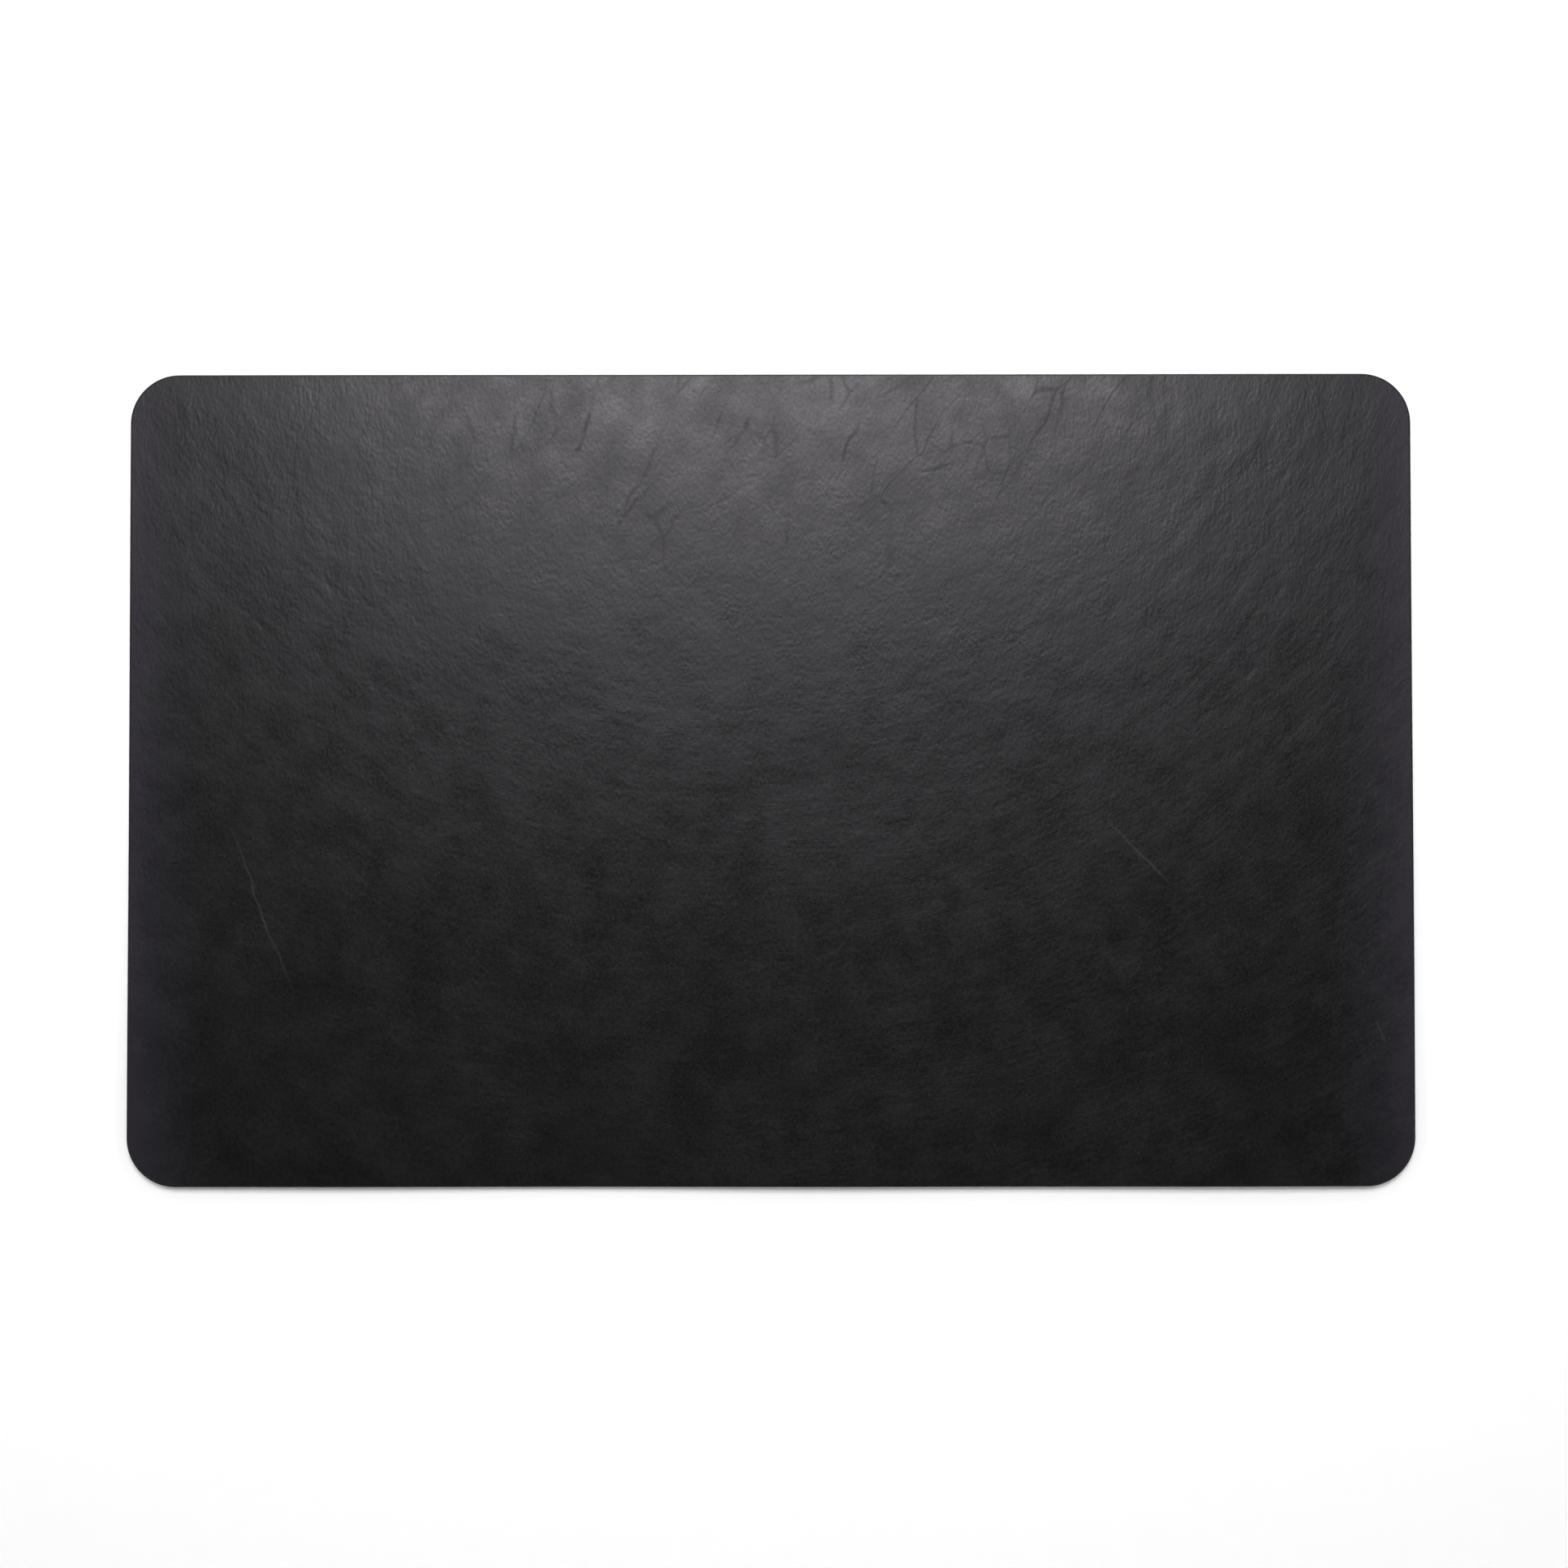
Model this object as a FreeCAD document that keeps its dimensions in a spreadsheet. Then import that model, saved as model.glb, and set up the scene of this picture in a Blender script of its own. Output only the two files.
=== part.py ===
import FreeCAD, Part
import math
import os

import Sketcher

# Leather desk mat: a flat laminate with large rounded corners and a painted edge.
#
# The mat lies on the XY plane with the centre of its underside at the origin, its length
# along X and +Z up. From the desk upwards it is an anti-slip microfibre backing, a bonding
# film, a thin reinforcement board, a second bonding film and the leather top. All five are
# cut to one outline. The edge coat is the band of flexible edge paint that closes the cut
# edge all the way round, so it holds the mat's outer size.

DIMENSIONS = [
    ("mat_length", 550.0, "overall length, coat included"),
    ("mat_width", 348.0, "overall width, coat included"),
    ("corner_radius", 21.0, "radius of the four corners seen from above"),
    ("leather_thickness", 1.5, "full-grain leather top"),
    ("adhesive_thickness", 0.1, "each of the two bonding films"),
    ("board_thickness", 0.5, "reinforcement board"),
    ("backing_thickness", 0.8, "anti-slip microfibre backing"),
    ("edge_bevel", 0.5, "bevel cut on the upper and lower rim before painting"),
    ("coat_thickness", 0.3, "edge paint on the cut edge"),
    ("coat_land", 0.1, "flat rim of paint, flush with the leather and the backing"),
]

# Layers from the desk upwards: name, its thickness cell, and the rim that is bevelled.
LAYERS = [
    ("backing", "backing_thickness", "lower"),
    ("lower_adhesive", "adhesive_thickness", None),
    ("reinforcement", "board_thickness", None),
    ("upper_adhesive", "adhesive_thickness", None),
    ("leather_top", "leather_thickness", "upper"),
]

TOTAL_THICKNESS = " + ".join("sheet." + cell for _, cell, _ in LAYERS)
CUT_INSET = "sheet.coat_thickness"

doc = FreeCAD.newDocument("desk_mat")


def fill_sheet():
    """Write every driving dimension to the spreadsheet, with its name and its meaning."""
    sheet = doc.addObject("Spreadsheet::Sheet", "sheet")
    for row, (alias, value, meaning) in enumerate(DIMENSIONS, start=1):
        sheet.set("A%d" % row, alias)
        sheet.set("B%d" % row, str(value))
        sheet.set("C%d" % row, meaning)
        sheet.setAlias("B%d" % row, alias)
    doc.recompute()
    return sheet


def origin_plane(body, role):
    """Return one of the body's own origin planes."""
    return next(item for item in body.Origin.OriginFeatures if item.Role == role)


def rounded_outline(body, inset):
    """Sketch the mat's outline on the body's XY plane, drawn in by the inset expression."""
    half_length = sheet.mat_length / 2
    half_width = sheet.mat_width / 2
    radius = sheet.corner_radius
    flat_x, flat_y = half_length - radius, half_width - radius
    sketch = body.newObject("Sketcher::SketchObject", body.Name + "_outline")
    sketch.AttachmentSupport = [(origin_plane(body, "XY_Plane"), "")]
    sketch.MapMode = "FlatFace"

    def line(x1, y1, x2, y2):
        ends = FreeCAD.Vector(x1, y1, 0), FreeCAD.Vector(x2, y2, 0)
        return sketch.addGeometry(Part.LineSegment(*ends), False)

    def corner(x, y, start_degrees):
        circle = Part.Circle(FreeCAD.Vector(x, y, 0), FreeCAD.Vector(0, 0, 1), radius)
        span = math.radians(start_degrees), math.radians(start_degrees + 90)
        return sketch.addGeometry(Part.ArcOfCircle(circle, *span), False)

    front = line(-flat_x, -half_width, flat_x, -half_width)
    front_right = corner(flat_x, -flat_y, 270)
    right = line(half_length, -flat_y, half_length, flat_y)
    back_right = corner(flat_x, flat_y, 0)
    back = line(flat_x, half_width, -flat_x, half_width)
    back_left = corner(-flat_x, flat_y, 90)
    left = line(-half_length, flat_y, -half_length, -flat_y)
    front_left = corner(-flat_x, -flat_y, 180)

    # Each piece ends tangent to the next. The front and right sides are centred on the
    # axes, which also makes them straight along X and Y.
    loop = [front, front_right, right, back_right, back, back_left, left, front_left]
    for piece, following in zip(loop, loop[1:] + loop[:1]):
        sketch.addConstraint(Sketcher.Constraint("Tangent", piece, 2, following, 1))
    x_axis, y_axis, origin = -1, -2, -1
    sketch.addConstraint(Sketcher.Constraint("Symmetric", front, 1, front, 2, y_axis))
    sketch.addConstraint(Sketcher.Constraint("Symmetric", right, 1, right, 2, x_axis))
    sketch.addConstraint(Sketcher.Constraint("Horizontal", back))
    sketch.addConstraint(Sketcher.Constraint("Vertical", left))
    for arc in (back_right, back_left, front_left):
        sketch.addConstraint(Sketcher.Constraint("Equal", front_right, arc))

    sizes = [
        ("half_length", ("DistanceX", origin, 1, right, 1, half_length), "mat_length / 2"),
        ("half_width", ("DistanceY", origin, 1, back, 1, half_width), "mat_width / 2"),
        ("corner", ("Radius", front_right, radius), "corner_radius"),
    ]
    for name, constraint, cell in sizes:
        index = sketch.addConstraint(Sketcher.Constraint(*constraint))
        sketch.renameConstraint(index, name)
        sketch.setExpression("Constraints." + name, "sheet.%s - (%s)" % (cell, inset))
    return sketch


def rim_face(shape, rim):
    """Name the flat face whose edge is the upper or lower rim."""
    heights = [face.CenterOfMass.z for face in shape.Faces]
    pick = max if rim == "upper" else min
    return "Face%d" % (heights.index(pick(heights)) + 1)


def plate(name, inset, thickness, height):
    """Pad the outline into a plate with its underside at the given height expression."""
    body = doc.addObject("PartDesign::Body", name)
    body.Label = name
    pad = body.newObject("PartDesign::Pad", name + "_pad")
    pad.Profile = rounded_outline(body, inset)
    pad.setExpression("Length", thickness)
    body.setExpression("Placement.Base.z", height)
    body.Tip = pad
    doc.recompute()
    return body


def dress(body, kind, size_property, rims, size):
    """Fillet or chamfer the named rims of the body's last feature."""
    base = body.Tip
    dressing = body.newObject("PartDesign::" + kind, body.Name + "_" + kind.lower())
    dressing.Base = (base, [rim_face(base.Shape, rim) for rim in rims])
    dressing.setExpression(size_property, size)
    body.Tip = dressing
    doc.recompute()


def make_layer(name, thickness_cell, bevelled_rim, height):
    """One layer of the laminate, bevelled where its rim is also the mat's rim."""
    body = plate(name, CUT_INSET, "sheet." + thickness_cell, height)
    if bevelled_rim:
        dress(body, "Chamfer", "Size", [bevelled_rim], "sheet.edge_bevel")
    return body


def make_laminate():
    """Stack the layers, each one resting on those below it."""
    layers, below = [], []
    for name, thickness_cell, bevelled_rim in LAYERS:
        height = " + ".join(below) or "0"
        layers.append(make_layer(name, thickness_cell, bevelled_rim, height))
        below.append("sheet." + thickness_cell)
    return layers


def make_edge_coat(layers):
    """The mat's rounded envelope with the whole laminate taken out, which leaves the band."""
    envelope = plate("coat_envelope", "0", TOTAL_THICKNESS, "0")
    rounding = "sheet.edge_bevel + sheet.coat_thickness - sheet.coat_land"
    dress(envelope, "Fillet", "Radius", ["upper", "lower"], rounding)
    laminate = doc.addObject("Part::MultiFuse", "laminate")
    laminate.Shapes = layers
    laminate.Refine = True
    coat = doc.addObject("Part::Cut", "edge_coat")
    coat.Label = "edge_coat"
    coat.Base = envelope
    coat.Tool = laminate
    coat.Refine = True
    return coat


def check_model(sub_parts):
    """Stop if any feature failed or any sub-part is not one valid solid."""
    for item in doc.Objects:
        if {"Invalid", "Error"} & set(item.State):
            raise RuntimeError("%s failed: %s" % (item.Name, item.State))
    for item in sub_parts:
        shape = item.Shape
        if shape.isNull() or not shape.isValid() or len(shape.Solids) != 1:
            raise RuntimeError("%s is not one valid solid" % item.Label)


def write_parts(sub_parts):
    """Write each sub-part to a file of its own, named by its label."""
    os.makedirs("parts", exist_ok=True)
    for item in sub_parts:
        item.Shape.exportStep("parts/%s.step" % item.Label)
        box = item.Shape.optimalBoundingBox()
        size = (box.XLength, box.YLength, box.ZLength, item.Shape.Volume)
        print("%-15s %7.2f x %7.2f x %5.2f mm %10.1f mm3" % (item.Label, *size))


sheet = fill_sheet()
layers = make_laminate()
edge_coat = make_edge_coat(layers)
doc.recompute()
sub_parts = layers + [edge_coat]
check_model(sub_parts)
write_parts(sub_parts)
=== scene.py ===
import math
from types import SimpleNamespace

import bpy
import numpy as np
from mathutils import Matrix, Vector, noise

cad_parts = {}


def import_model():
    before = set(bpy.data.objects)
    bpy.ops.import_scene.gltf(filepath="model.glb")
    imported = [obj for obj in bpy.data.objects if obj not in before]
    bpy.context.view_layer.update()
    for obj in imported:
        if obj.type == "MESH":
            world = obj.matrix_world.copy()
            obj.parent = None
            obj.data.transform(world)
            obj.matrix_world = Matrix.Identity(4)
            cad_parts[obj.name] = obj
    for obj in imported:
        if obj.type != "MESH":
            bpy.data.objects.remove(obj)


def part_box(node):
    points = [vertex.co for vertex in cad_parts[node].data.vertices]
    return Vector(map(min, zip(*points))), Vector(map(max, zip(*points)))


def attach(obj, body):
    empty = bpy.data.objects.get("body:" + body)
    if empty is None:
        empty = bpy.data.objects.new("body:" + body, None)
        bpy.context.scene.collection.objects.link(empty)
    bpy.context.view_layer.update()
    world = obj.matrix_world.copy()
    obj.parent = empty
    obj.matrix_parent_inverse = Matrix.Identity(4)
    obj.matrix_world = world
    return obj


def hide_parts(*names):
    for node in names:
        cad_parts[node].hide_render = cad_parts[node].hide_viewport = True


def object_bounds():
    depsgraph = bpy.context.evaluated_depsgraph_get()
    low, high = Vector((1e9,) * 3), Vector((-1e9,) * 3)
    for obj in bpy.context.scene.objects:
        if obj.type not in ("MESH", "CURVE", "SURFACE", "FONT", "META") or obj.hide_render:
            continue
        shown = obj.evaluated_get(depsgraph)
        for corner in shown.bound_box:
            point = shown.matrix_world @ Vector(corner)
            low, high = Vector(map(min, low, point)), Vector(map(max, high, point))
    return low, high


# Leather desk mat lying on a plain pale floor.
#
# The CAD model is five flat layers and a band of edge paint. Here each of them is built
# again as a thin closed mesh that lies as real leather does: the rim rises and falls a
# little, the layers thin towards the edge, and the leather's face has shallow dents and
# folds. The marks that are finer than the mesh are relief, dye and gloss in the materials.

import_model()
cad_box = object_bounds()

# ---------------------------------------------------------------- sizes, in metres
HALF_LENGTH = cad_box[1].x
HALF_WIDTH = cad_box[1].y
MAT_TOP = cad_box[1].z
CORNER_RADIUS = 0.021
CORE_X = HALF_LENGTH - CORNER_RADIUS
CORE_Y = HALF_WIDTH - CORNER_RADIUS

# Heights of the layers' faces, from the underside of the mat.
LEATHER_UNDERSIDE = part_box("leather_top")[0].z
BOARD_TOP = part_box("reinforcement")[1].z
BOARD_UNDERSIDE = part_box("reinforcement")[0].z
BACKING_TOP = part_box("backing")[1].z

# The rim is bevelled and then painted. The paint slopes from the leather down to the edge,
# and rounds over it.
BEVEL = 0.0005
COAT_WALL = 0.0003  # paint on the cut edge
COAT_REACH = COAT_WALL + BEVEL  # how far the paint reaches in over the leather and the backing
COAT_SLOPE = math.radians(14)
COAT_ROUNDING = 0.0003  # radius
COAT_ROUNDING_LOOPS = 8

# Cells of the fine grid: along the straight part of each side, and over each corner.
FINE_X, FINE_Y, FINE_CORNER = 340, 204, 12
COARSE_STEP = 4  # the hidden faces take every fourth line
SHARP_ANGLE = math.radians(30)  # an edge that turns further than this isn't shaded smooth

# The rim of a flexible mat doesn't lie quite flat. It lifts in waves, most at the front.
RIM_LIFT = 0.0017
RIM_LIFT_REACH = 0.035
RIM_LIFT_BACK = 0.2  # lift at the back, as a share of the lift at the front
RIM_LIFT_LEVEL = 0.62  # share of the lift that the waves rise and fall about
RIM_WAVE_LENGTH = 0.19
RIM_WAVES = [  # share of the lift, run along X and Y, and phase
    (0.20, (1.0, 0.0), 1.1),
    (0.18, (0.43, -0.7), 2.4),
]

# The press thins the rim.
RIM_THINNING = 0.07  # share of the thickness
RIM_THIN_REACH = 0.016

# Wrinkles run round a point beyond the middle of the far edge, as they do on a hide. They
# are faint up to one distance from that point, and full from another.
HIDE_CENTRE = Vector((-0.015, 0.285, 0.0))
WRINKLES_START, WRINKLES_FULL = 0.17, 0.27
WRINKLES_LEAST = 0.1  # their strength up to the first distance

# Dents and grain are longer along Y: their width is this share of their length.
GRAIN_WIDTH = 0.6

# What the mesh of the leather's face has: dents, and folds along the hide's wrinkles.
DENT_SIZE, DENT_DEPTH = 0.018, 0.000100
FOLD_WIDTH, FOLD_LENGTH, FOLD_DEPTH = 0.008, 0.026, 0.000060
FOLD_MEANDER, FOLD_MEANDER_SIZE = 0.004, 0.045
FOLD_PATCH_SIZE = 0.11
FOLD_PATCH_LEVEL, FOLD_PATCH_SWING = 0.45, 0.9
FOLD_RISE = 1.2  # how much stronger they get with each metre to the right
FOLD_LEAST, FOLD_MOST = 0.12, 1.3
SMOOTH_RIM = 0.004  # dents and folds die out about this close to the outline

# Creases like veins, and faint scratches, each from one end to the other. They fade out over
# a share of their length at both ends.
LINE_TAPER = 0.3
VEINS = [
    ((-0.074, 0.165), (-0.087, 0.133)),
    ((-0.045, 0.152), (-0.065, 0.108)),
    ((-0.051, 0.127), (-0.068, 0.104)),
    ((-0.007, 0.159), (-0.019, 0.137)),
    ((0.038, 0.156), (0.028, 0.126)),
    ((0.009, 0.117), (0.007, 0.096)),
    ((-0.011, 0.090), (-0.015, 0.030)),
    ((0.060, 0.131), (0.081, 0.135)),
]
VEIN_WIDTH = 0.0014
SCRATCHES = [
    ((-0.235, -0.013), (-0.202, -0.096)),
    ((0.140, -0.014), (0.174, -0.048)),
    ((0.258, -0.104), (0.262, -0.114)),
]
SCRATCH_WIDTH = 0.0007

# A network of creases that runs mostly one way.
CREASE_CELL = 0.013, 0.034  # across and along
CREASE_ALONG = Vector((0.5, 0.87, 0.0))
CREASE_ACROSS = Vector((0.87, -0.5, 0.0))

# Where the paler, rougher ends begin, counted from a point just left of the middle.
END_SHIFT, END_START = 0.001, 0.236

# The studio: a floor that curves up into a glowing wall, a dim room and one soft light.
FLOOR_RADIUS, WALL_CURVE, WALL_HEIGHT = 1.9, 0.5, 1.5
FLOOR_MIDDLE = 0.7  # radius of the one face in the middle
FLOOR_SIDES = 96
WALL_CURVE_STEP = 10  # degrees
WALL_GLOW = 1.0
ROOM_LIGHT = 0.006
ROOM_COLOUR = (0.9, 0.95, 1.0, 1.0)
SOFTBOX_PLACE = (-0.016, 0.726, 1.336)
SOFTBOX_SIZE = 1.05, 0.75
SOFTBOX_POWER = 23.8  # watts

CAMERA_SENSOR, CAMERA_LENS = 36.0, 42.82  # mm
CAMERA_PLACE = (0.00669, -0.01624, 0.8016)
CAMERA_TURN = (1.01, 0.068, -0.054)  # degrees, from looking straight down


# ---------------------------------------------------------------- shape of the laminate
def grid_line(core, cells, corner_cells):
    """Places across the mat, as a position in the straight part and a share of the corner."""
    share = np.linspace(0, 1, corner_cells + 1)[1:]
    straight = np.linspace(-core, core, cells + 1)
    ends = np.full(corner_cells, core)
    return (
        np.concatenate([-ends, straight, ends]),
        np.concatenate([-share[::-1], 0 * straight, share]),
    )


def mat_grid(inset, step=1):
    """X and Y of the grid points of a rounded rectangle drawn in from the mat's outline."""
    # The square of cells at each corner is rounded into a quarter of a disc.
    radius = CORNER_RADIUS - inset
    place_x, share_x = (a[::step, None] for a in grid_line(CORE_X, FINE_X, FINE_CORNER))
    place_y, share_y = (a[None, ::step] for a in grid_line(CORE_Y, FINE_Y, FINE_CORNER))
    x = place_x + radius * share_x * np.sqrt(1 - share_y**2 / 2)
    y = place_y + radius * share_y * np.sqrt(1 - share_x**2 / 2)
    return x, y


def rim_of(grid):
    """The outermost points of a grid, anticlockwise from its first corner."""
    return np.concatenate([grid[:-1, 0], grid[-1, :-1], grid[:0:-1, -1], grid[0, :0:-1]])


def rim_distance(x, y):
    """How far inside the mat's outline each point lies."""
    over_x, over_y = np.abs(x) - CORE_X, np.abs(y) - CORE_Y
    outside = np.hypot(np.maximum(over_x, 0), np.maximum(over_y, 0))
    return CORNER_RADIUS - outside - np.minimum(np.maximum(over_x, over_y), 0)


def near_rim(x, y, reach):
    """1 at the outline, about a third at the reach, and falling smoothly to 0 further in."""
    return np.exp(-((rim_distance(x, y) / reach) ** 2))


def rest(x, y, height):
    """Where a point of the flat laminate comes to lie: its height once the rim has settled."""
    turn = 2 * math.pi / RIM_WAVE_LENGTH
    wave = RIM_LIFT_LEVEL
    for share, (run_x, run_y), phase in RIM_WAVES:
        wave = wave + share * np.sin(turn * (run_x * x + run_y * y) + phase)
    toward_front = np.interp(y, (-HALF_WIDTH, HALF_WIDTH), (1.0, RIM_LIFT_BACK))
    lift = RIM_LIFT * toward_front * near_rim(x, y, RIM_LIFT_REACH) * wave
    return lift + height * (1 - RIM_THINNING * near_rim(x, y, RIM_THIN_REACH))


def cloud(x, y, size, seed, octaves=3):
    """Smooth noise of about -1 to 1, whose largest features have the given size."""
    start = Vector((17.3, 5.1, 9.7)) * seed
    points = zip(np.ravel(x) / size, np.ravel(y) / size)
    values = [noise.fractal(start + Vector((u, v, 0)), 1.0, 2.0, octaves) for u, v in points]
    return np.reshape(values, np.shape(x))


def relief(x, y):
    """Shallow dents of the leather's face, and folds that follow the hide's growth."""
    across = np.hypot(x - HIDE_CENTRE.x, y - HIDE_CENTRE.y)
    along = np.arctan2(x - HIDE_CENTRE.x, HIDE_CENTRE.y - y) * HIDE_CENTRE.y
    across = across + FOLD_MEANDER * cloud(x, y, FOLD_MEANDER_SIZE, seed=1)
    dents = DENT_DEPTH * cloud(x, y * GRAIN_WIDTH, DENT_SIZE, seed=2)
    patches = FOLD_PATCH_SWING * cloud(x, y, FOLD_PATCH_SIZE, seed=4)
    folded = np.clip(FOLD_PATCH_LEVEL + patches + FOLD_RISE * x, FOLD_LEAST, FOLD_MOST)
    folded *= np.interp(across, (WRINKLES_START, WRINKLES_FULL), (WRINKLES_LEAST, 1.0))
    folds = FOLD_DEPTH * folded * cloud(across / FOLD_WIDTH, along / FOLD_LENGTH, 1.0, seed=3)
    return (dents + folds) * (1 - near_rim(x, y, SMOOTH_RIM))


# ---------------------------------------------------------------- meshes
class Shell:
    """The points and faces of one closed piece. Loops of points go anticlockwise from above."""

    def __init__(self):
        self.points, self.faces, self.count = [], [], 0

    def add(self, x, y, height, extra=0):
        """Add points of the laminate at a height, and return their numbers in the same shape."""
        z = rest(x, y, height) + extra
        self.points.append(np.stack([np.ravel(x), np.ravel(y), np.ravel(z)], axis=1))
        numbers = self.count + np.arange(x.size).reshape(x.shape)
        self.count += x.size
        return numbers

    def loop(self, inset, height):
        """Add a loop of points round the mat."""
        x, y = (rim_of(grid) for grid in mat_grid(inset))
        return self.add(x, y, height)

    def face(self, corners, upward):
        """Add faces, given as one array for each of their corners."""
        rows = np.stack([np.ravel(c) for c in corners], axis=1)
        self.faces += (rows if upward else rows[:, ::-1]).tolist()

    def fill(self, grid, upward):
        """Cover a grid of points."""
        self.face((grid[:-1, :-1], grid[1:, :-1], grid[1:, 1:], grid[:-1, 1:]), upward)

    def band(self, upper, lower):
        """Join two loops with faces that look outwards."""
        self.face((lower, np.roll(lower, -1), np.roll(upper, -1), upper), True)

    def flat_face(self, loop, inset, height, upward):
        """Close a loop with a coarse grid and a ring of triangles that leads up to it."""
        x, y = (grid[1:-1, 1:-1] for grid in mat_grid(inset, COARSE_STEP))
        inner = self.add(x, y, height)
        self.fill(inner, upward)
        edge, anchors = rim_of(inner), anchors_of(inner.shape)
        hand_over = (anchors + np.append(anchors[1:], len(loop))) // 2
        starts = np.append(hand_over[-1] - len(loop), hand_over[:-1])
        for start, end, point, following in zip(starts, hand_over, edge, np.roll(edge, -1)):
            outer = loop[np.arange(start, end + 1) % len(loop)]
            self.face((np.full(end - start, point), outer[:-1], outer[1:]), upward)
            self.face(([point], [outer[-1]], [following]), upward)

    def build(self, name, material):
        """Make the object, shade it smooth and tie it to the frame."""
        mesh = bpy.data.meshes.new(name)
        mesh.from_pydata(np.concatenate(self.points).tolist(), [], self.faces)
        mesh.shade_smooth()
        mesh.set_sharp_from_angle(angle=SHARP_ANGLE)
        mesh.materials.append(material)
        piece = bpy.data.objects.new(name, mesh)
        bpy.context.collection.objects.link(piece)
        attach(piece, "root")
        return piece


def anchors_of(inner_shape):
    """For each point round the inner grid, the number of the fine rim point outside it."""
    wide, deep = (n + 2 for n in inner_shape)
    numbers = np.zeros(wide * deep, int)
    order = rim_of(np.arange(wide * deep).reshape(wide, deep))
    numbers[order] = np.arange(len(order)) * COARSE_STEP
    across, back = ([0, *range(2, n - 2), n - 1] for n in (wide, deep))
    return rim_of(numbers.reshape(wide, deep)[np.ix_(across, back)])


def layer(name, material, profile):
    """A layer of the laminate. Its profile runs from the rim of its face down to its underside."""
    shell = Shell()
    loops = [shell.loop(inset, height) for inset, height in profile]
    for upper, lower in zip(loops, loops[1:]):
        shell.band(upper, lower)
    shell.flat_face(loops[0], *profile[0], upward=True)
    shell.flat_face(loops[-1], *profile[-1], upward=False)
    return shell.build(name, material)


def leather_top(material):
    """The leather: a fine grid with relief on top, a bevelled rim and a hidden coarse underside."""
    shell = Shell()
    x, y = mat_grid(COAT_REACH)
    face = shell.add(x, y, MAT_TOP, relief(x, y))
    shell.fill(face, upward=True)
    cut_edge = [shell.loop(COAT_WALL, height) for height in (MAT_TOP - BEVEL, LEATHER_UNDERSIDE)]
    shell.band(rim_of(face), cut_edge[0])
    shell.band(*cut_edge)
    shell.flat_face(cut_edge[-1], COAT_WALL, LEATHER_UNDERSIDE, upward=False)
    return shell.build("leather", material)


def edge_coat(material):
    """The edge paint: a ribbon round the cut edge that laps over the leather and the backing."""
    start = COAT_ROUNDING * (1 - math.sin(COAT_SLOPE))
    drop = (COAT_REACH - start) * math.tan(COAT_SLOPE)
    centre = MAT_TOP - drop - COAT_ROUNDING * math.cos(COAT_SLOPE)
    turns = np.linspace(COAT_SLOPE, math.pi / 2, COAT_ROUNDING_LOOPS)
    top = [
        (COAT_ROUNDING * (1 - math.sin(a)), centre + COAT_ROUNDING * math.cos(a)) for a in turns
    ]
    bottom = [(inset, MAT_TOP - height) for inset, height in reversed(top)]
    outside = [(COAT_REACH, MAT_TOP), *top, (0, MAT_TOP / 2), *bottom, (COAT_REACH, 0)]
    inside = [(COAT_WALL, BEVEL), (COAT_WALL, MAT_TOP - BEVEL)]
    shell = Shell()
    loops = [shell.loop(inset, height) for inset, height in outside + inside]
    for upper, lower in zip(loops, loops[1:] + loops[:1]):
        shell.band(upper, lower)
    return shell.build("painted_edge", material)


# ---------------------------------------------------------------- materials
FLAT = 1, 1, 0  # times a place, leaves out its height


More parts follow.
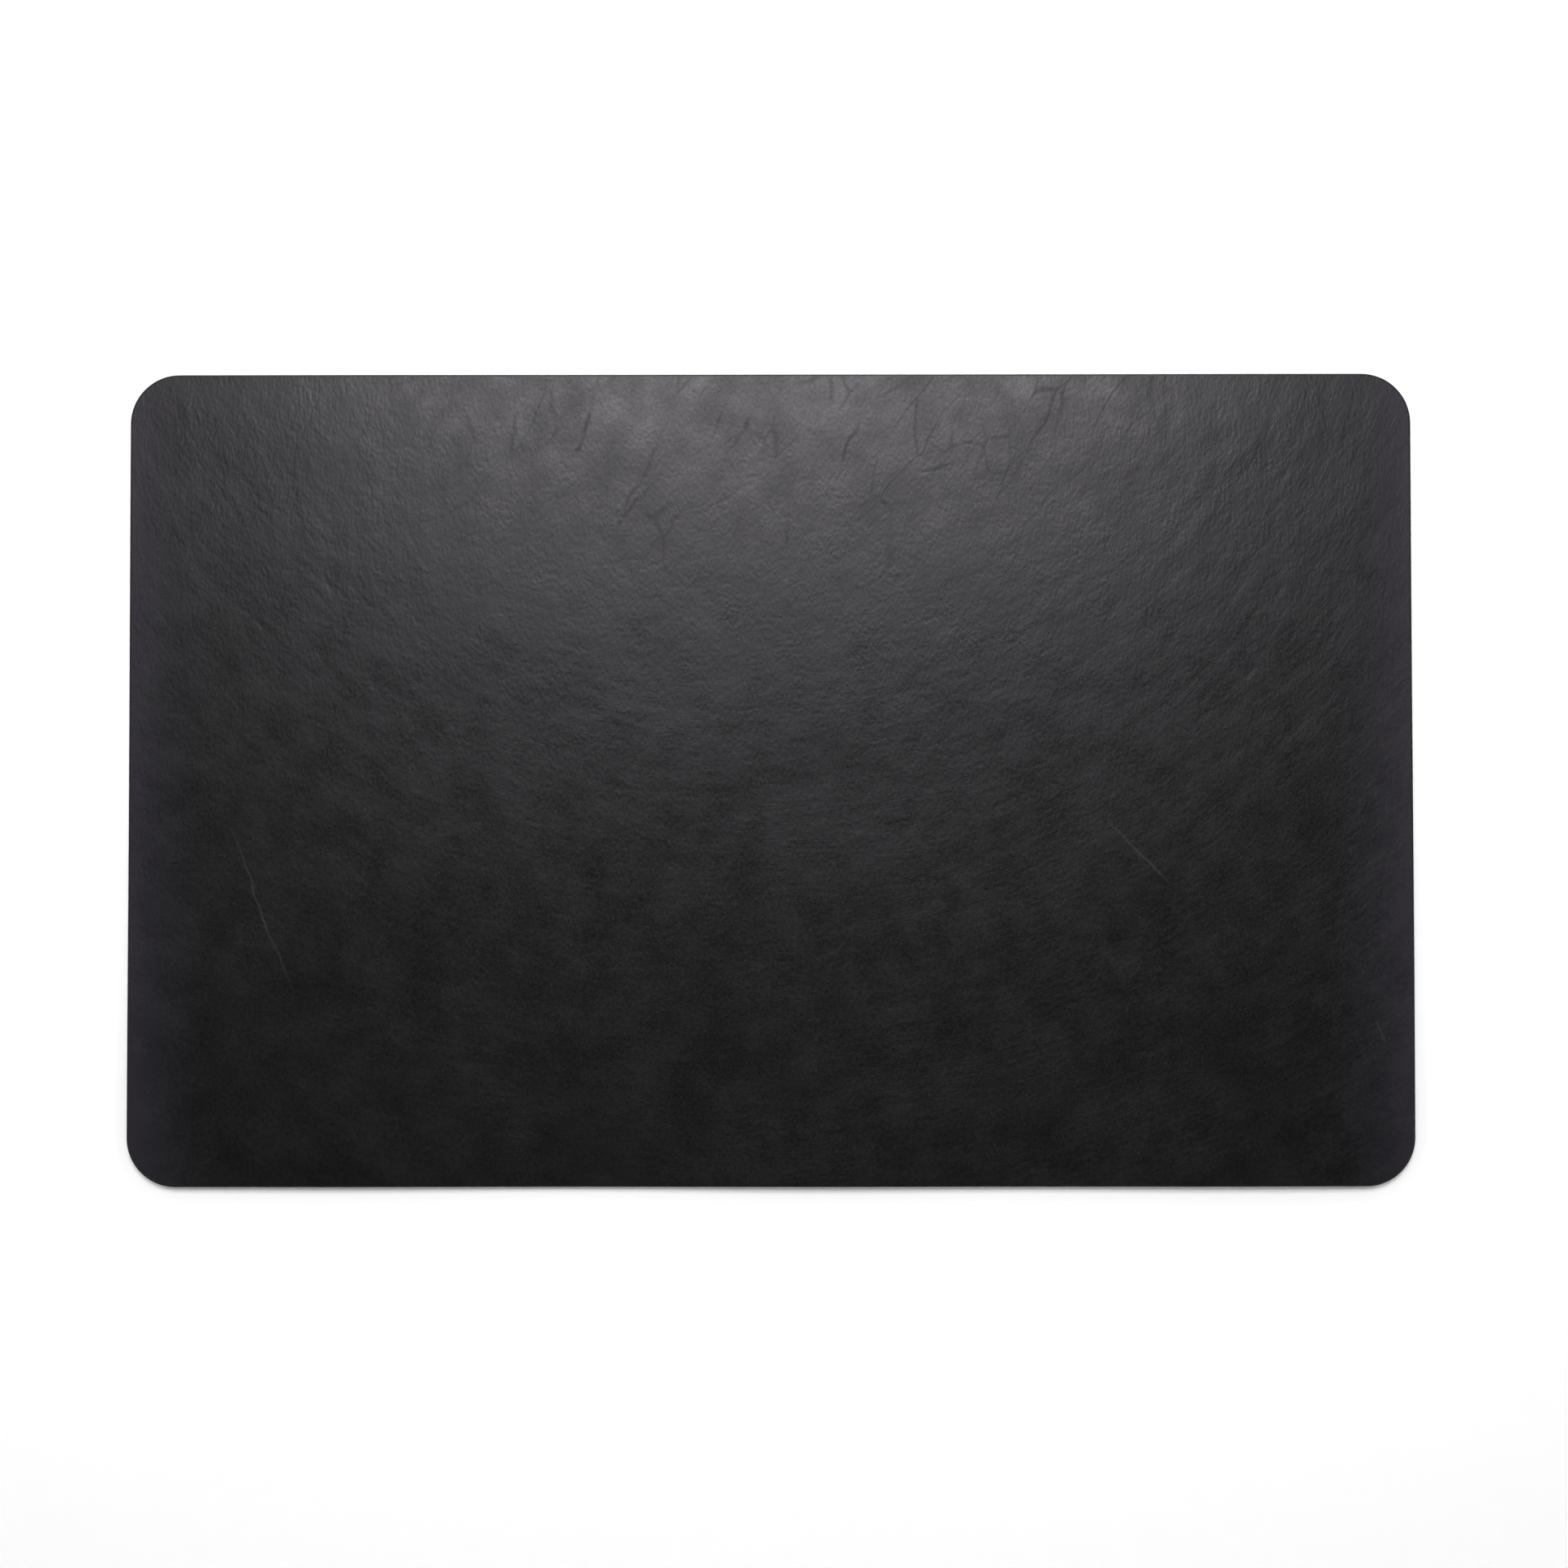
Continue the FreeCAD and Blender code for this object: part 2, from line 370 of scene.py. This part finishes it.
class Shader:
    """A node material. Each call adds what it names and returns the output to use next."""

    def __init__(self, name, **constants):
        self.material = bpy.data.materials.new(name)
        self.material.use_nodes = True
        self.tree = self.material.node_tree
        self.surface = self.tree.nodes["Principled BSDF"]
        self.place = self.add("TexCoord").outputs["Object"]
        for socket, value in constants.items():
            self.feed(self.surface.inputs[socket.replace("_", " ")], value)

    def add(self, kind, inputs=(), **settings):
        """Add a node, with its inputs by name or number and its settings by name."""
        node = self.tree.nodes.new("ShaderNode" + kind)
        for name, value in settings.items():
            setattr(node, name, value)
        for key, value in dict(inputs).items():
            self.feed(node.inputs[key], value)
        return node

    def feed(self, socket, value):
        """Link a socket to another node's output, or set it to a constant."""
        if isinstance(value, bpy.types.NodeSocket):
            self.tree.links.new(value, socket)
        else:
            socket.default_value = value

    def maths(self, operation, *values, clamp=False):
        """Arithmetic on numbers."""
        node = self.add("Math", enumerate(values), operation=operation, use_clamp=clamp)
        return node.outputs[0]

    def vectors(self, operation, *values, output="Vector"):
        """Arithmetic on vectors."""
        node = self.add("VectorMath", enumerate(values), operation=operation)
        return node.outputs[output]

    def total(self, *values):
        """The sum of several numbers."""
        result, *others = values
        for value in others:
            result = self.maths("ADD", result, value)
        return result

    def scaled(self, value, factor):
        """A number times another."""
        return self.maths("MULTIPLY", value, factor)

    def weighted(self, *pairs):
        """The sum of several numbers, each times its own factor."""
        return self.total(*(self.scaled(value, factor) for value, factor in pairs))

    def noise(self, place, size, detail=2.0, roughness=0.5):
        """Cloudy noise from 0 to 1, with its largest features of the given size."""
        inputs = {"Vector": place, "Scale": 1 / size, "Detail": detail, "Roughness": roughness}
        return self.add("TexNoise", inputs).outputs["Fac"]

    def warped(self, place, size, amount):
        """Places shifted about by noise, so that what is drawn on them meanders."""
        inputs = {"Vector": place, "Scale": 1 / size, "Detail": 1.0}
        shift = self.add("TexNoise", inputs).outputs["Color"]
        shift = self.vectors("SUBTRACT", shift, (0.5, 0.5, 0.5))
        return self.vectors("MULTIPLY_ADD", shift, (amount,) * 3, place)

    def cells(self, place, size, feature="SMOOTH_F1"):
        """Distance from the nearest cell's middle or edge, in cells of the given size."""
        inputs = {"Vector": place, "Scale": 1 / size}
        return self.add("TexVoronoi", inputs, feature=feature).outputs["Distance"]

    def drawn_out(self, place, width, length):
        """Places on the flat, counted in features of the given width and length."""
        return self.vectors("MULTIPLY", place, (1 / width, 1 / length, 0))

    def ranged(self, value, low, high, first=0.0, last=1.0):
        """Map low to high onto first to last, with a smooth start and end."""
        inputs = {0: value, 1: low, 2: high, 3: first, 4: last}
        return self.add("MapRange", inputs, interpolation_type="SMOOTHSTEP").outputs[0]

    def mixed(self, share, first, second):
        """A colour between two others, each given as an output or as red, green and blue."""
        first, second = ((*c, 1.0) if isinstance(c, tuple) else c for c in (first, second))
        return self.add("Mix", {0: share, 6: first, 7: second}, data_type="RGBA").outputs[2]

    def finished(self, height=None, **links):
        """Connect the surface's sockets and its relief, a height in metres."""
        if height is not None:
            links["Normal"] = self.add("Bump", {"Height": height, "Distance": 1.0}).outputs[0]
        for socket, value in links.items():
            self.feed(self.surface.inputs[socket.replace("_", " ")], value)
        return self.material


def along_line(shader, place, start, end, width):
    """1 on a line from start to end, falling to 0 at the width to either side and at both ends."""
    start, run = Vector((*start, 0)), Vector((*end, 0)) - Vector((*start, 0))
    offset = shader.vectors("SUBTRACT", place, start)
    share = shader.vectors("DOT_PRODUCT", offset, run / run.length_squared, output="Value")
    share = shader.maths("ADD", share, 0.0, clamp=True)  # not past either end
    foot = shader.vectors("SCALE", run)
    shader.feed(foot.node.inputs["Scale"], share)
    gap = shader.vectors("DISTANCE", offset, foot, output="Value")
    taper = shader.ranged(shader.maths("PINGPONG", share, 0.5), 0.0, LINE_TAPER)
    return shader.scaled(shader.ranged(gap, 0.0, width, 1.0, 0.0), taper)


def lines(shader, place, ends, width):
    """The strongest of several such lines."""
    result, *others = (along_line(shader, place, start, end, width) for start, end in ends)
    for line in others:
        result = shader.maths("MAXIMUM", result, line)
    return result


def hide_directions(shader):
    """Places counted across and along the leather's wrinkles, and the first of the two alone."""
    offset = shader.vectors("SUBTRACT", HIDE_CENTRE, shader.place)
    flat = shader.vectors("MULTIPLY", offset, FLAT)
    across = shader.vectors("LENGTH", flat, output="Value")
    parts = shader.add("SeparateXYZ", {0: flat}).outputs
    turn = shader.maths("ARCTAN2", parts["X"], parts["Y"])
    along = shader.scaled(turn, HIDE_CENTRE.y)
    return shader.add("CombineXYZ", {0: across, 1: along}).outputs[0], across


def creases(shader):
    """1 on a faint branching network of creases that runs mostly one way, else 0."""
    meander_size, meander = 0.020, 0.008
    half_width = 0.055  # of a crease, in cells
    patch_size, patch_levels = 0.030, (0.42, 0.66)

    place = shader.warped(shader.place, meander_size, meander)
    across = shader.vectors("DOT_PRODUCT", place, CREASE_ACROSS / CREASE_CELL[0], output="Value")
    along = shader.vectors("DOT_PRODUCT", place, CREASE_ALONG / CREASE_CELL[1], output="Value")
    cell_place = shader.add("CombineXYZ", {0: across, 1: along}).outputs[0]
    edge = shader.cells(cell_place, 1.0, feature="DISTANCE_TO_EDGE")
    crease = shader.ranged(edge, 0.0, half_width, 1.0, 0.0)
    shown = shader.ranged(shader.noise(shader.place, patch_size), *patch_levels)
    return shader.scaled(crease, shown)


def wrinkles_of(shader, x, hide, wrinkled):
    """Fine wrinkles in bundles, more of them towards the right, and the hairlines in them."""
    bundle_size, bundle_levels, bundle_least = 0.045, (0.40, 0.66), 0.15
    bundle_rise = 0.45  # how far the noise rises with each metre to the right
    wrinkle_width, wrinkle_length = 0.0014, 0.012
    hairline_level = 0.05  # how far from the middle of the noise a hairline reaches

    bundles = shader.noise(shader.place, bundle_size, detail=3.0)
    bundles = shader.total(bundles, shader.scaled(x, bundle_rise))
    bundles = shader.ranged(bundles, *bundle_levels, bundle_least, 1.0)
    bundles = shader.scaled(bundles, wrinkled)
    wrinkles = shader.noise(shader.drawn_out(hide, wrinkle_width, wrinkle_length), 1.0, detail=3.0)
    wrinkles = shader.maths("ABSOLUTE", shader.maths("SUBTRACT", wrinkles, 0.5))
    hairlines = shader.ranged(wrinkles, 0.0, hairline_level, 1.0, 0.0)
    return shader.scaled(wrinkles, bundles), shader.scaled(hairlines, bundles)


def pores_of(shader):
    """1 in the pores, else 0."""
    spacing, pore_edge = 0.0024, (0.06, 0.16)  # the edge is in shares of the spacing
    pores = shader.cells(shader.place, spacing, feature="F1")
    return shader.ranged(pores, *pore_edge, 1.0, 0.0)


def veins_of(shader, place, folds, across):
    """Up to 1 on the veins, which the folds break up, and fainter on the creases."""
    broken_levels, broken_least = (0.40, 0.60), 0.25
    crease_near, crease_far = 0.65, 0.20  # strength near the hide's centre and far from it

    veins = lines(shader, place, VEINS, VEIN_WIDTH)
    veins = shader.scaled(veins, shader.ranged(folds, *broken_levels, broken_least, 1.0))
    strength = shader.ranged(across, WRINKLES_START, WRINKLES_FULL, crease_near, crease_far)
    return shader.maths("MAXIMUM", veins, shader.scaled(creases(shader), strength))


def toward_ends(shader, x):
    """0 over most of the mat, rising to 1 at its right end and nearly 1 at its left end."""
    end = shader.maths("ABSOLUTE", shader.maths("ADD", x, END_SHIFT))
    end = shader.maths("SUBTRACT", end, END_START)
    end = shader.maths("MULTIPLY", end, 1 / (HALF_LENGTH + END_SHIFT - END_START), clamp=True)
    return shader.maths("POWER", end, 2.0)


def leather_marks(shader):
    """Numbers for what marks the leather, by name, and the distance across the hide."""
    hide_meander_size, hide_meander = 0.020, 0.003
    fold_width, fold_length = 0.0055, 0.017
    pebble_size, pebble_meander_size, pebble_meander = 0.0012, 0.004, 0.0012
    swell_size, grain_size, shade_size = 0.0032, 0.0011, 0.05
    line_meander_size, line_meander = 0.014, 0.007

    x = shader.add("SeparateXYZ", {0: shader.place}).outputs["X"]
    hide, across = hide_directions(shader)
    hide = shader.warped(hide, hide_meander_size, hide_meander)
    wrinkled = shader.ranged(across, WRINKLES_START, WRINKLES_FULL, WRINKLES_LEAST, 1.0)
    wrinkles, hairlines = wrinkles_of(shader, x, hide, wrinkled)
    folds = shader.noise(shader.drawn_out(hide, fold_width, fold_length), 1.0)
    grain_place = shader.vectors("MULTIPLY", shader.place, (1.0, GRAIN_WIDTH, 1.0))
    pebble_place = shader.warped(grain_place, pebble_meander_size, pebble_meander)
    line_place = shader.warped(shader.place, line_meander_size, line_meander)
    line_place = shader.vectors("MULTIPLY", line_place, FLAT)
    return SimpleNamespace(
        across=across,
        wrinkles=wrinkles,
        hairlines=hairlines,
        folds=shader.scaled(folds, wrinkled),
        pebbles=shader.cells(pebble_place, pebble_size),
        swells=shader.noise(grain_place, swell_size),
        grain=shader.noise(shader.place, grain_size),
        pores=pores_of(shader),
        veins=veins_of(shader, line_place, folds, across),
        scratches=lines(shader, line_place, SCRATCHES, SCRATCH_WIDTH),
        pale_ends=toward_ends(shader, x),
        shade=shader.noise(shader.place, shade_size, detail=3.0),
    )


def leather_height(shader, marks):
    """The leather's relief: what each mark adds to its height, in metres."""
    return shader.weighted(
        (marks.pebbles, -0.000050),
        (marks.wrinkles, -0.000060),
        (marks.folds, 0.000080),
        (marks.swells, 0.000060),
        (marks.pores, -0.000020),
        (marks.veins, -0.000030),
    )


def leather_dye(shader, marks):
    """Black dye, uneven in the grain, paler and violet towards both ends and grey in the scratches.
    """
    dark, pale = (0.0031, 0.0031, 0.0032), (0.0054, 0.0054, 0.0056)
    pale_ends, scratched = (0.0118, 0.0102, 0.0150), (0.03, 0.03, 0.03)
    shade_strength, grain_strength, scratch_strength = 0.5, 1.2, 0.5
    dye_shift = -0.35

    dye = shader.weighted((marks.shade, shade_strength), (marks.grain, grain_strength))
    colour = shader.mixed(shader.total(dye, dye_shift), dark, pale)
    # paler and violet towards both ends
    colour = shader.mixed(marks.pale_ends, colour, pale_ends)
    return shader.mixed(shader.scaled(marks.scratches, scratch_strength), colour, scratched)


def leather_roughness(shader, marks):
    """Satin in patches, most so near the hide's centre, and duller in veins and at the ends."""
    patch_size = 0.016
    patchy_near, patchy_far = 0.32, 0.18  # strength near the hide's centre and far from it
    least = 0.23

    patches = shader.noise(shader.place, patch_size, detail=3.0)
    patches = shader.maths("SUBTRACT", patches, 0.5)
    patchy = shader.ranged(marks.across, WRINKLES_START, WRINKLES_FULL, patchy_near, patchy_far)
    roughness = shader.weighted(
        (marks.shade, 0.05),
        (patches, patchy),
        (marks.grain, 0.20),
        (marks.veins, 0.15),
        (marks.hairlines, 0.07),
        (marks.pale_ends, 0.11),
    )
    return shader.total(roughness, least)


def leather_material():
    """Black full-grain leather: pebbled, wrinkled in bundles, with veins and a few scratches."""
    shader = Shader("black_leather", IOR=1.40, Specular_Tint=(0.98, 0.94, 1.0, 1.0))
    marks = leather_marks(shader)
    return shader.finished(
        leather_height(shader, marks),
        Base_Color=leather_dye(shader, marks),
        Roughness=leather_roughness(shader, marks),
    )


def edge_paint_material():
    """Black flexible edge paint, brushed on by hand: glossy, slightly wavy, with fine dust."""
    wave_size, wave_height = 0.006, 0.00012
    dust_size, dust_height = 0.0007, 0.000012
    dark, pale = (0.0030, 0.0033, 0.0033), (0.0050, 0.0054, 0.0054)
    dust_levels, roughness = (0.3, 0.7), (0.26, 0.40)

    shader = Shader("edge_paint", Specular_IOR_Level=0.4)
    waves = shader.noise(shader.place, wave_size, detail=1.0)
    dust = shader.noise(shader.place, dust_size)
    return shader.finished(
        shader.weighted((waves, wave_height), (dust, dust_height)),
        Base_Color=shader.mixed(waves, dark, pale),
        Roughness=shader.ranged(dust, *dust_levels, *roughness),
    )


def microfibre_material():
    """Black microfibre suede: a short nap that lies this way and that."""
    nap_size, nap_width, nap_height = 0.0006, 0.45, 0.00012
    brushed_size, brushed_height = 0.030, 0.00010
    dark, pale = (0.016, 0.016, 0.017), (0.042, 0.042, 0.045)

    shader = Shader(
        "microfibre",
        Roughness=0.95,
        Specular_IOR_Level=0.25,
        Sheen_Weight=0.35,
        Sheen_Roughness=0.4,
    )
    nap_place = shader.vectors("MULTIPLY", shader.place, (1.0, nap_width, 1.0))
    nap = shader.noise(nap_place, nap_size, detail=3.0)
    brushed = shader.noise(shader.place, brushed_size, detail=3.0)
    return shader.finished(
        shader.weighted((nap, nap_height), (brushed, brushed_height)),
        Base_Color=shader.mixed(shader.weighted((nap, 0.7), (brushed, 0.3)), dark, pale),
    )


def film_material():
    """Amber bonding film, cloudy where it has soaked in."""
    soaked_size, soaked_height = 0.012, 0.00005
    clear, cloudy = (0.42, 0.34, 0.22), (0.62, 0.55, 0.40)
    soaked_levels, roughness = (0.2, 0.8), (0.35, 0.6)

    shader = Shader("bonding_film", Specular_IOR_Level=0.4)
    soaked = shader.noise(shader.place, soaked_size, detail=4.0)
    return shader.finished(
        shader.scaled(soaked, soaked_height),
        Base_Color=shader.mixed(soaked, clear, cloudy),
        Roughness=shader.ranged(soaked, *soaked_levels, *roughness),
    )


def board_material():
    """Dense brown fibre board with flecks of paler fibre."""
    fibre_size, fibre_width, fibre_height = 0.0009, 0.25, 0.00005
    fleck_spacing, fleck_edge = 0.0032, (0.05, 0.22)  # the edge is in shares of the spacing
    dark, pale = (0.085, 0.060, 0.040), (0.190, 0.145, 0.105)
    fibre_levels, roughness = (0.2, 0.8), (0.75, 0.92)

    shader = Shader("fibre_board", Specular_IOR_Level=0.3)
    fibre_place = shader.vectors("MULTIPLY", shader.place, (1.0, fibre_width, 1.0))
    fibres = shader.noise(fibre_place, fibre_size, detail=3.0)
    flecks = shader.cells(shader.place, fleck_spacing, feature="F1")
    flecks = shader.ranged(flecks, *fleck_edge, 1.0, 0.0)
    return shader.finished(
        shader.scaled(fibres, fibre_height),
        Base_Color=shader.mixed(shader.weighted((fibres, 0.75), (flecks, 0.25)), dark, pale),
        Roughness=shader.ranged(fibres, *fibre_levels, *roughness),
    )


# ---------------------------------------------------------------- studio
def paper_material():
    """White paper that glows softly where it stands up as the wall."""
    shader = Shader(
        "white_paper",
        Base_Color=(0.92, 0.92, 0.92, 1.0),
        Roughness=0.9,
        Specular_IOR_Level=0.1,
        Emission_Color=(1.0, 1.0, 1.0, 1.0),
    )
    height = shader.add("SeparateXYZ", {0: shader.place}).outputs["Z"]
    glow = shader.ranged(height, 0.0, WALL_CURVE, 0.0, WALL_GLOW)
    return shader.finished(Emission_Strength=glow)


def cyclorama():
    """A round white floor that curves up into a wall."""
    profile = [(FLOOR_MIDDLE, 0.0)]
    for degrees in range(0, 91, WALL_CURVE_STEP):
        angle = math.radians(degrees)
        radius = FLOOR_RADIUS + WALL_CURVE * math.sin(angle)
        profile.append((radius, WALL_CURVE * (1 - math.cos(angle))))
    profile.append((FLOOR_RADIUS + WALL_CURVE, WALL_HEIGHT))
    angles = [2 * math.pi * i / FLOOR_SIDES for i in range(FLOOR_SIDES)]
    points = [(r * math.cos(a), r * math.sin(a), z) for r, z in profile for a in angles]
    rings = [range(start, start + FLOOR_SIDES) for start in range(0, len(points), FLOOR_SIDES)]
    faces = [tuple(rings[0])]
    for inner, outer in zip(rings, rings[1:]):
        for i in range(FLOOR_SIDES):
            j = (i + 1) % FLOOR_SIDES
            faces.append((inner[i], outer[i], outer[j], inner[j]))
    mesh = bpy.data.meshes.new("floor")
    mesh.from_pydata(points, [], faces)
    mesh.shade_smooth()
    mesh.materials.append(paper_material())
    floor = bpy.data.objects.new("floor", mesh)
    bpy.context.collection.objects.link(floor)


def softbox():
    """A soft light behind the mat and above it, aimed at its middle."""
    light = bpy.data.lights.new("back_softbox", "AREA")
    light.shape = "RECTANGLE"
    light.size, light.size_y = SOFTBOX_SIZE
    light.energy = SOFTBOX_POWER
    lamp = bpy.data.objects.new("back_softbox", light)
    lamp.location = SOFTBOX_PLACE
    lamp.rotation_euler = (-Vector(SOFTBOX_PLACE)).to_track_quat("-Z", "Y").to_euler()
    lamp.visible_camera = False
    bpy.context.collection.objects.link(lamp)


def world():
    """A dim room, very slightly blue."""
    scene = bpy.context.scene
    scene.world = bpy.data.worlds.new("room")
    scene.world.use_nodes = True
    background = scene.world.node_tree.nodes["Background"]
    background.inputs["Color"].default_value = ROOM_COLOUR
    background.inputs["Strength"].default_value = ROOM_LIGHT


def camera():
    """A camera nearly straight above the mat."""
    lens = bpy.data.cameras.new("camera")
    lens.sensor_width = CAMERA_SENSOR
    lens.lens = CAMERA_LENS
    eye = bpy.data.objects.new("camera", lens)
    eye.location = CAMERA_PLACE
    eye.rotation_euler = [math.radians(a) for a in CAMERA_TURN]
    bpy.context.collection.objects.link(eye)
    bpy.context.scene.camera = eye


# ---------------------------------------------------------------- build
leather = leather_top(leather_material())
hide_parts("leather_top")

film = film_material()
upper_profile = [(COAT_WALL, LEATHER_UNDERSIDE), (COAT_WALL, BOARD_TOP)]
upper_film = layer("upper_film", film, upper_profile)
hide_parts("upper_adhesive")

board_profile = [(COAT_WALL, BOARD_TOP), (COAT_WALL, BOARD_UNDERSIDE)]
board = layer("board", board_material(), board_profile)
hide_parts("reinforcement")

lower_profile = [(COAT_WALL, BOARD_UNDERSIDE), (COAT_WALL, BACKING_TOP)]
lower_film = layer("lower_film", film, lower_profile)
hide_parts("lower_adhesive")

backing_profile = [(COAT_WALL, BACKING_TOP), (COAT_WALL, BEVEL), (COAT_REACH, 0.0)]
backing = layer("suede_backing", microfibre_material(), backing_profile)
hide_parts("backing")

coat = edge_coat(edge_paint_material())
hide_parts("edge_coat")

cyclorama()
world()
softbox()
camera()
bpy.context.scene.view_settings.view_transform = "Standard"
